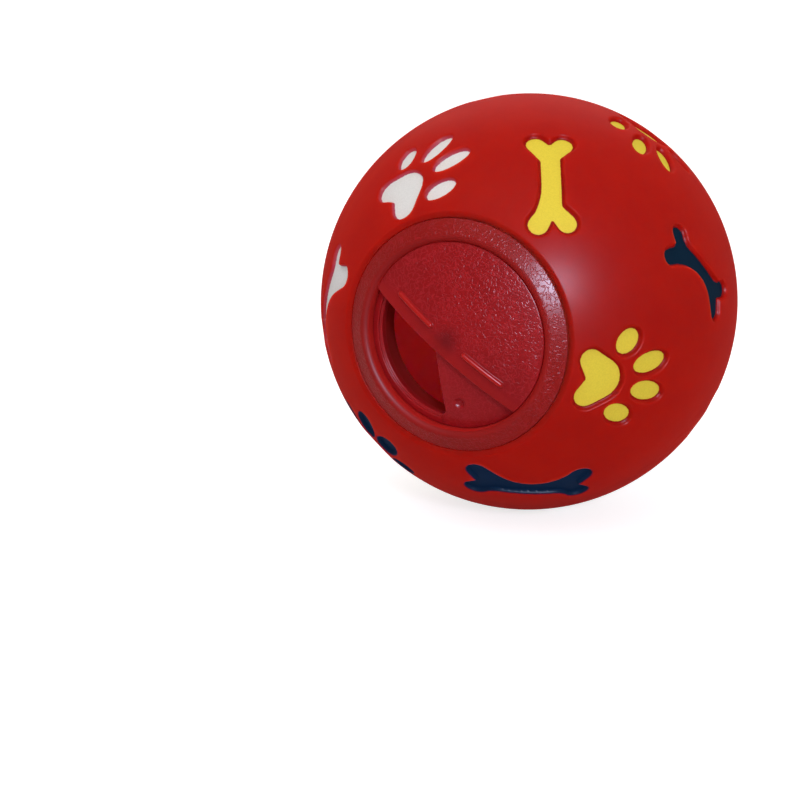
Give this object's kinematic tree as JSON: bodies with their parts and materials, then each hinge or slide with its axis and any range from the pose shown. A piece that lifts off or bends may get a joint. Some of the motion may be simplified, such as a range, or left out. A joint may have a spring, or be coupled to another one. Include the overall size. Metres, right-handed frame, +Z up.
{
  "type": "treat ball",
  "caption": "Hollow soft vinyl pet ball with sunk bone and paw motifs and a hard front port; turning its dial sets the gap that treats fall through.",
  "frame": {"origin": "lowest point of the ball, where it rests on the floor, straight below the ball's centre at z = 55 mm", "axes": "+Z up, -Y out of the treat port along the dial's axis, +X to the right as seen facing the port"},
  "size_m": [0.11, 0.107, 0.11],
  "materials": {
    "red_vinyl": "soft rotomoulded vinyl, satin, with yellow, white and dark blue paint sprayed in the sunk motifs",
    "red_port_plastic": "injection-moulded plastic, glossy, with a fine leather grain on the outer band",
    "red_plate_plastic": "injection-moulded plastic with a fine grain inside a smooth rim",
    "red_dial_plastic": "injection-moulded plastic, grained, with smooth finger ribs"
  },
  "bodies": {
    "root": {"ball_shell": "red_vinyl", "port_ring": "red_port_plastic", "base_plate": "red_plate_plastic"},
    "dial": {"dial": "red_dial_plastic"}
  },
  "joints": [
    {"name": "dial_turn", "type": "hinge", "parent": "root", "child": "dial", "pos_m": [0, -0.0494, 0.055], "axis": [0, -1, 0], "continuous": true}
  ]
}
